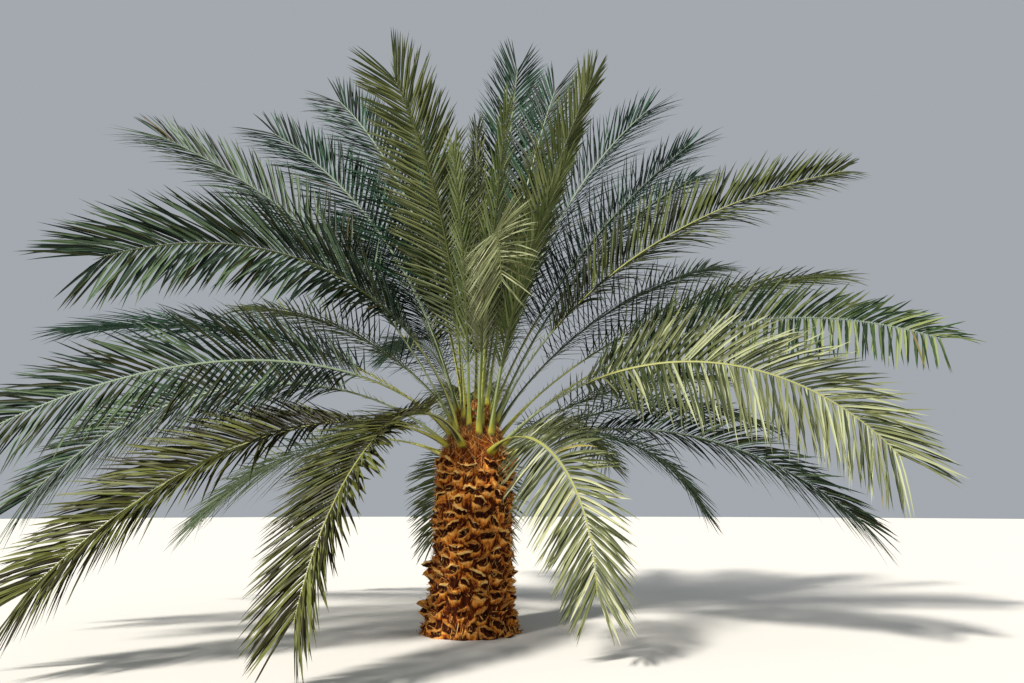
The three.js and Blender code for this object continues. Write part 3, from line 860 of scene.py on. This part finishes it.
def torn_fibres(heap):
    """Short torn fibres that bristle from the boots.

    They point up, out and sideways, and curl by the square of the distance along them.
    """
    _, _, angle, lip, projection = boots()
    count = len(lip) * TORN_EACH
    own = drawn(SEED + 9, TORN, count)
    spot = np.repeat(np.arange(len(lip)), TORN_EACH)
    height = lip[spot] + own.up
    shaft = stem_radius(height)
    turned = angle[spot] + own.turn / shaft
    foot = round_trunk(turned, shaft + projection[spot] * own.depth, np.maximum(height, 0.01))
    outward = np.stack([np.cos(turned), np.sin(turned), np.zeros(count)], axis=-1)
    sideways = np.stack([-np.sin(turned), np.cos(turned), np.zeros(count)], axis=-1)
    reach = outward * own.outward[:, None] + sideways * own.sideways[:, None]
    reach = unit(reach + np.array([0, 0, 1.0]) * own.upward[:, None])
    t = np.linspace(0, 1, 4)[None, :, None]
    curl = sideways[:, None] * own.curl[:, None, None] * t ** 2
    lines = foot[:, None] + own.length[:, None, None] * (reach[:, None] * t + curl)
    lines[..., 2] = np.maximum(lines[..., 2], 0.006)
    radii = own.radius[:, None] * np.array([1.0, 0.85, 0.5])
    add_strands(heap, lines, radii, fibre_shades(SEED + 10, count))


def loose_fibres(heap, number, low, high, length, lift, seed):
    """Fibres that cross over the trunk or heart, each with its ends lifted off.

    Each climbs and turns evenly, and stands off by the square of the distance from about its middle.
    """
    own = drawn(seed, LOOSE, number, 1)
    t = np.linspace(-1, 1, 7)
    size = length * own.length
    height = mix(low, high, own.place) + size / 2 * t * np.cos(own.slant)
    height = np.clip(height, 0.01, HEART_TOP - 0.01)
    shaft = stem_radius(height, LOOSE_OFF)
    turned = own.turn + size / 2 * t * np.sin(own.slant) / np.maximum(shaft, 0.08)
    off = lift * own.lift * (t - 0.6 * (own.weight - 0.5)) ** 2
    lines = round_trunk(turned, shaft + off, height)
    radii = mix(*LOOSE_RADIUS, own.weight) * (1 - 0.6 * np.abs(t[:-1]))
    add_strands(heap, lines, radii, fibre_shades(seed + 1, number))


def foot_roots(heap):
    """Stubby roots that hang down the flare to the ground, and bulge outwards by a sine of the way down."""
    own = drawn(SEED + 5, ROOT, FOOT_ROOTS, 1)
    t = np.linspace(0, 1, 6)
    height = np.maximum(mix(own.top, 0.004, t), 0.004)
    off = own.off * np.sin(math.pi * t * 0.6)
    lines = round_trunk(own.turn + own.lean * t, trunk_radius(height) + off, height)
    radii = own.radius * (1 - 0.5 * t[:-1])
    add_strands(heap, lines, radii, fibre_shades(SEED + 6, FOOT_ROOTS), sides=5)


# Fronds

def seat_fronds(rows):
    """Gives each frond its seat and course. Seats that crowd push each other apart, round by round."""
    for row in rows:
        row.turn = math.radians(row.heading)
        row.youth = min(max((row.rise - SEAT_RISE[0]) / (SEAT_RISE[1] - SEAT_RISE[0]), 0), 1)
        row.climb = row.youth * (1 - FRONT_DROP * max(0, -math.sin(row.turn)))
    for _ in range(SEAT_ROUNDS):
        for i, a in enumerate(rows):
            for b in rows[i + 1:]:
                radius = mix(*SEAT_RADIUS, (a.climb + b.climb) / 2)
                turned = math.atan2(math.sin(b.turn - a.turn), math.cos(b.turn - a.turn))
                across = turned * radius / SEAT_WIDTH
                up = (b.climb - a.climb) * SEAT_SLANT / SEAT_DEPTH
                apart = math.hypot(across, up)
                if apart >= 1:
                    continue
                push = SEAT_PUSH * (1 - apart) / max(apart, SEAT_NEAREST)
                for seat, way in ((a, -push), (b, push)):
                    seat.turn += way * across * SEAT_WIDTH / radius
                    climb = seat.climb + way * up * SEAT_DEPTH / SEAT_SLANT
                    seat.climb = float(np.clip(climb, *SEAT_LIMITS))
    for row in rows:
        radius = mix(*SEAT_RADIUS, row.climb)
        height = mix(*SEAT_HEIGHT, row.climb)
        row.seat = np.array([TRUNK_LEAN + radius * math.cos(row.turn), radius * math.sin(row.turn), height])
        lay_course(row)


def frame_at(row, share):
    """The rib's direction, upper face and right-hand side at shares of its length.

    The pitch falls from the rise by the droop times the share to the power of the bend, and the blade turns
    about the rib by its twist over the first half.
    """
    share = np.asarray(share, float)
    pitch = np.radians(row.rise - row.droop * share ** row.bend)
    heading = math.radians(row.heading)
    twist = math.radians(row.twist) * smooth(0, TWIST_DONE, share)
    level, climb = np.cos(pitch), np.sin(pitch)
    right, back = math.cos(heading), math.sin(heading)
    along = np.stack([level * right, level * back, climb], axis=-1)
    upright = np.stack([-climb * right, -climb * back, level], axis=-1)
    sideways = np.broadcast_to([back, -right, 0.0], along.shape)
    cosine, sine = np.cos(twist)[..., None], np.sin(twist)[..., None]
    return along, upright * cosine + sideways * sine, sideways * cosine - upright * sine


def lay_course(row):
    """The rib's course: equal short steps, each in the direction at its own middle."""
    along, _, _ = frame_at(row, (np.arange(CURVE_STEPS) + 0.5) / CURVE_STEPS)
    steps = np.cumsum(along * row.length / CURVE_STEPS, axis=0)
    row.course = row.seat + np.concatenate([np.zeros((1, 3)), steps])


def point_at(row, share):
    """Points of the course at shares of its length."""
    steps = np.linspace(0, 1, CURVE_STEPS + 1)
    return np.stack([np.interp(share, steps, row.course[:, axis]) for axis in range(3)], axis=-1)


def leaving_share(row):
    """The share of its length at which a rib comes out of the heart."""
    reach = np.hypot(row.course[:, 0] - TRUNK_LEAN, row.course[:, 1])
    outside = (reach > heart_radius(row.course[:, 2])) | (row.course[:, 2] > HEART_TOP)
    return np.argmax(outside) / CURVE_STEPS


def rib_width(row, share):
    """An even taper to the tip, with a wider foot that fades exponentially."""
    foot = mix(*RIB_FOOT, row.youth) - RIB_TIP - RIB_BLADE
    fade = np.exp(-share * row.length / RIB_FOOT_FADE)
    return RIB_TIP + RIB_BLADE * (1 - share) + foot * fade


def rib_rings(row, shares):
    """Rings of the rib: a low crest above and a deeper keel below, half a rounded oval each.

    On the stalk the upper side is hollowed along its middle, and at the foot it spreads into a sheath.
    """
    _, face, side = frame_at(row, shares)
    width = (rib_width(row, shares) * mix(1, SLENDER_SHARE, smooth(0.03, 0.15, shares)))[:, None]
    spread = SHEATH_SPREAD * np.exp(-shares * row.length / SHEATH_FADE)[:, None]
    angle = full_turn(RIB_SIDES)
    sine, cosine = np.sin(angle), np.cos(angle)
    hollow = 1 - STALK_HOLLOW * smooth(0.26, 0.1, shares)[:, None] * np.maximum(sine, 0) ** 3
    crest = RIB_CREST * width * np.maximum(sine, 0) ** 0.6 * hollow
    keel = RIB_KEEL * width * np.maximum(-sine, 0) ** 0.85
    across = (width / 2 + spread) * cosine
    middle = point_at(row, shares)[:, None]
    return middle + side[:, None] * across[..., None] + face[:, None] * (crest - keel)[..., None]


def add_rib(heap, row, shares, finish, value, tip=False):
    """One stretch of a rib, closed at both ends, or drawn out to a tip."""
    points = rib_rings(row, shares).reshape(-1, 3)
    carried = np.repeat(value, RIB_SIDES)
    if tip:
        along, _, _ = frame_at(row, 1.0)
        points = np.concatenate([points, [point_at(row, 1.0) + RIB_POINT * along]])
        carried = np.append(carried, value[-1])
    strips = np.tile(finish, len(shares) - 1)
    tips = finish[0] if tip else None
    heap.add(points, tube_faces(1, len(shares), RIB_SIDES, strips, finish[0], tips), carried)


def add_spines(heap, row, number):
    """The long thorns on the stalk's edges, longer towards the blade, pointing outwards and forward."""
    count = max(SPINES_FEWEST, round(row.length * PETIOLE_SHARE * SPINED_SHARE / SPINE_PITCH))
    own = drawn(SEED + 100 + number, SPINE, 2 * count, 1)
    shares = np.tile(np.linspace(SPINE_FIRST, PETIOLE_SHARE * PETIOLE_OVERLAP, count), 2) + own.place[:, 0]
    hand = np.repeat([-1, 1], count)[:, None]
    grown = np.tile(np.linspace(0.25, 1, count), 2)[:, None]
    along, face, side = frame_at(row, shares)
    forward, lift = np.radians(own.forward), np.radians(own.lift)
    reach = along * np.cos(forward) + np.sin(forward) * (hand * side * np.cos(lift) + face * np.sin(lift))
    foot = point_at(row, shares) + side * hand * rib_width(row, shares)[:, None] * SPINE_SEAT
    length = SPINE_LENGTH * grown * own.length
    t = np.array([-0.04, 0.35, 0.7, 1.0])[None, :, None]
    lines = foot[:, None] + (reach * length)[:, None] * t
    radii = SPINE_RADIUS * (0.5 + 0.5 * grown) * np.array([1.0, 0.8, 0.45])
    add_strands(heap, lines, radii, 0, sides=4)


def add_leaflets(heap, row, number, first):
    """Both ranks of a frond's leaflets, by the solids' rule; first is the number of their first finish.

    They stand in clusters of three that share a root and part in height. Each leaves the rib forward,
    outward and up, and arches down by the square of the distance; those that hang swing out squarer to the
    rib. It is folded along its midrib, widest at a fifth of its length, and drawn out to a point. Its upper
    and its paler lower faces have a shade each, drawn darker near the frond's foot as painted shade of the
    inner crown, and a few are dry, which is the last upper shade.
    """
    rng = np.random.default_rng(SEED + number)
    habit = row.habit
    count = round(row.length * (1 - PETIOLE_SHARE) / (LEAFLET_PITCH * habit.pitch))
    index = np.tile(np.arange(count), 2)
    hand = np.repeat([-1, 1], count)
    member = (index + (hand > 0) + number) % 3
    own = drawn(rng, LEAFLET_RANGES, 2 * count)
    size = min(max(row.length / FULL_FROND, SMALLEST_SIZE), 1)

    # Where each leaflet stands, and which way it goes
    outward = (index + 0.5 + CLUSTER_PULL * (1 - member) + own.place) / count
    share = mix(PETIOLE_SHARE, 1, np.clip(outward, 0, 1))
    along, face, side = frame_at(row, share)
    spread = mix(*habit.forward, outward) * mix(1, YOUNG_FORWARD, row.youth)
    spread = spread * (1 - TIP_GATHER * smooth(0.93, 1.0, outward))
    hanging = np.clip(-side[:, 2] * hand, 0, 1)
    spread = spread + CLUSTER_SPLAY * (member - 1) + own.forward + habit.hang * hanging
    forward = np.radians(spread)[:, None]
    lift = np.array(habit.lifts)[member] * mix(1, TIP_LIFT, outward) * mix(1, habit.hanging, hanging)
    lift = np.radians(lift + own.lift + np.maximum(habit.raised * hand, 0))[:, None]
    outwards = side * hand[:, None] * np.cos(lift) + face * np.sin(lift)
    reach = along * np.cos(forward) + outwards * np.sin(forward)

    # How long each is, and how far it sags, kept above the ground
    shortest = mix(LEAFLET_SHORTEST, habit.last, outward)
    swell = np.sin(math.pi * outward.clip(0, 1) ** LEAFLET_PEAK_POWER).clip(0, 1)
    fullness = mix(shortest, 1, swell ** mix(*LEAFLET_SWELL_POWER, outward))
    length = LEAFLET_LENGTH * habit.reach * fullness * size * (1 + own.length)
    sag = mix(*SAG, row.youth) * (1 + own.sag) * np.sqrt(1 - reach[:, 2] ** 2)
    foot = point_at(row, share) + side * (hand * rib_width(row, share) * LEAFLET_SEAT)[:, None]
    fall = np.maximum(sag - reach[:, 2], 1e-3)
    length = np.minimum(length, np.maximum(foot[:, 2] - LOWEST_TIP, 0.02) / fall)

    # Its middle line; those that would cross the top of the trunk are left out
    t = LEAFLET_STATIONS[None, :, None]
    ends = np.append(LEAFLET_STATIONS, 1.0)[None, :, None]
    bend = own.bend[:, None] * np.cross(reach, face) - sag[:, None] * np.array([0, 0, 1.0])
    line = foot[:, None] + length[:, None, None] * (ends * reach[:, None] + ends ** 2 * bend[:, None])
    line[..., 2] = np.maximum(line[..., 2], LOWEST_TIP)
    near_trunk = np.hypot(line[..., 0] - TRUNK_LEAN, line[..., 1]) < BARE_RADIUS
    keep = ~(near_trunk & (line[..., 2] < BARE_HEIGHT)).any(axis=1)

    # Its folded section: two upper faces, and two lower ones that meet in a thin keel
    tangent = unit(reach[:, None] + 2 * t * bend[:, None])
    roll = np.radians(own.roll - habit.turn * hand)[:, None]
    level = unit(face - (face * reach).sum(-1, keepdims=True) * reach)
    level = level * np.cos(roll) + np.cross(reach, level) * np.sin(roll)
    over = unit(level[:, None] - (level[:, None] * tangent).sum(-1, keepdims=True) * tangent)
    across = np.cross(tangent, over)
    outline = mix(LEAFLET_FOOT_WIDTH, 1, smooth(0, LEAFLET_WIDEST, t)) * (1 - t ** 2.4) ** 0.85
    breadth = LEAFLET_WIDTH * habit.width * mix(*LEAFLET_BREADTH, fullness) * (1 + own.width)
    half = breadth[:, None, None] / 2 * outline
    fold = np.radians(mix(*LEAFLET_FOLD, t))
    edge = over * half * np.sin(fold)
    middle = line[:, :-1]
    under = middle - over * LEAFLET_THICKNESS * (1 - 0.7 * t)
    width = across * half * np.cos(fold)
    rings = np.stack([middle - width + edge, middle, middle + width + edge, under], axis=2)[keep]

    # Its shades, which are darker towards the frond's foot, as painted shade of the inner crown
    kept = int(keep.sum())
    darkness = mix(INNER_DARKNESS, 1, smooth(*INNER_END, outward[keep]))
    shade = first + (UPPER_SHADES * rng.uniform(0, 1, kept) ** darkness).astype(int)
    shade = np.where(rng.uniform(0, 1, kept) < DRY_SHARE, first + UPPER_SHADES, shade)
    lower = first + UPPER_SHADES + 1 + (LOWER_SHADES * rng.uniform(0, 1, kept) ** darkness).astype(int)
    add_spikes(heap, rings, line[keep][:, -1], np.stack([shade, shade, lower, lower], axis=-1), lower)


def nodes_of(name):
    """A frond's nodes: its own one, or its inner and outer halves."""
    return [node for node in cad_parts
            if node.removesuffix("_inner").removesuffix("_outer") == f"frond_{name}"]


def make_stalks():
    """The stalks, ribs and spines of all fronds, each kind joined."""
    petioles, ribs, spines = Heap(), Heap(), Heap()
    side = np.arange(RIB_SIDES)
    half = RIB_SIDES // 2
    margin = np.minimum(side % half, half - 1 - side % half) < MARGIN_SIDES
    crests = list(RIB_TONES)
    for number, row in enumerate(FRONDS):
        stalk = PETIOLE_SHARE * PETIOLE_OVERLAP * (np.arange(PETIOLE_RINGS) / (PETIOLE_RINGS - 1)) ** 1.4
        in_margin = STALKS + (number + row.heading // 90) % MARGINS
        strips = np.where(margin, in_margin, (number * 5 + row.heading) % STALKS)
        risen = 0.1 + (stalk - leaving_share(row)) * row.length
        add_rib(petioles, row, stalk, strips, risen.clip(0, 1))
        blade = np.linspace(PETIOLE_SHARE, 1, BLADE_RINGS)
        strips = np.where(side < half, crests.index(row.habit.rib), crests.index("green"))
        add_rib(ribs, row, blade, strips, blade, tip=True)
        add_spines(spines, row, number)
    finishes = [petiole_finish(name, *tones) for name, tones in PETIOLE_FINISHES.items()]
    add_piece("petioles", petioles, finishes, "leaf_olive", crease=40)
    finishes = [plain(f"rib_{tone}", code, 0.5) for tone, code in RIB_TONES.items()]
    add_piece("ribs", ribs, finishes, "leaf_blue_green", crease=40)
    add_piece("spines", spines, [plain("spine", "7d8044", 0.4)], "leaf_pale")


def make_leaflets():
    """The leaflets of all fronds, joined by their slot into pieces under the limit."""
    finishes_of = {tone: leaf_finishes(tone) for tone in LEAF_SHADES}
    for slot in ("leaf_olive", "leaf_blue_green", "leaf_pale"):
        chosen = [(number, row) for number, row in enumerate(FRONDS) if row.slot == slot]
        chosen.sort(key=lambda pair: pair[1].tone)
        tones = sorted({row.tone for _, row in chosen})
        finishes = [finish for tone in tones for finish in finishes_of[tone]]
        heap, nodes, part = Heap(), [], 1
        for number, row in chosen:
            if heap.triangles() > PIECE_LIMIT - FROND_TRIANGLES:
                add_piece(f"leaflets_{slot[5:]}_{part}", heap, finishes, slot, nodes)
                heap, nodes, part = Heap(), [], part + 1
            add_leaflets(heap, row, number, finishes.index(finishes_of[row.tone][0]))
            nodes += nodes_of(row.name)
        add_piece(f"leaflets_{slot[5:]}_{part}", heap, finishes, slot, nodes)


def make_trunk():
    """The trunk's shaft, its boots, the heart, and the loose fibres on them."""
    add_piece("trunk_shaft", trunk_shaft(), [fibrous_finish("trunk_core")], "bark", ["trunk"], crease=60)
    rims = [fibrous_finish("boot_rim"), fibrous_finish("boot_rim_worn_and_shaded")]
    finishes = [boot_face_finish(), boot_hollow_finish(), *rims]
    add_piece("trunk_boots", trunk_boots(), finishes, "bark", crease=32)
    add_piece("heart_sheaths", heart_dome(), [fibrous_finish("heart_fibre")], "fibre", ["heart"], crease=60)
    fibres = Heap()
    loose_fibres(fibres, HEART_FIBRES, TRUNK_TOP - 0.05, HEART_TOP - 0.05, 0.13, 0.03, SEED + 1)
    loose_fibres(fibres, TRUNK_FIBRES, 0.1, TRUNK_TOP, 0.11, 0.03, SEED + 3)
    torn_fibres(fibres)
    foot_roots(fibres)
    finishes = [plain(f"fibre_{tone}", code, 0.8) for tone, code in FIBRE_TONES.items()]
    add_piece("loose_fibres", fibres, finishes, "fibre")


# Floor, light and camera

def make_stage():
    """A wide pale floor, a soft sun from the front left and a pale sky."""
    bpy.ops.mesh.primitive_circle_add(vertices=96, radius=60, fill_type="NGON", location=(0, 0, -0.001))
    floor = bpy.context.object
    floor.name = "floor"
    floor.data.materials.append(plain("floor", "d9d6cf", 0.9))
    sun = bpy.data.lights.new("sun", "SUN")
    sun.energy = 5.8
    sun.angle = math.radians(6)
    sun.color = (1.0, 0.96, 0.9)
    place("sun", sun).rotation_euler = (math.radians(48), 0, math.radians(-38))
    world = bpy.data.worlds.new("sky")
    world.use_nodes = True
    sky = world.node_tree.nodes["Background"]
    sky.inputs["Color"].default_value = (0.86, 0.92, 1.0, 1)
    sky.inputs["Strength"].default_value = 0.43
    bpy.context.scene.world = world
    bpy.context.scene.view_settings.view_transform = "Standard"


def make_camera():
    """The photograph's view: chest high, six metres in front and tilted up."""
    camera = bpy.data.cameras.new("camera")
    camera.sensor_width = 36
    camera.lens = 28.125
    holder = place("camera", camera)
    holder.location = (0.31, -6.2, 0.92)
    holder.rotation_euler = (math.radians(90 + 11.55), 0, 0)
    bpy.context.scene.camera = holder


make_camera()
make_trunk()
seat_fronds(FRONDS)
make_stalks()
make_leaflets()
make_stage()
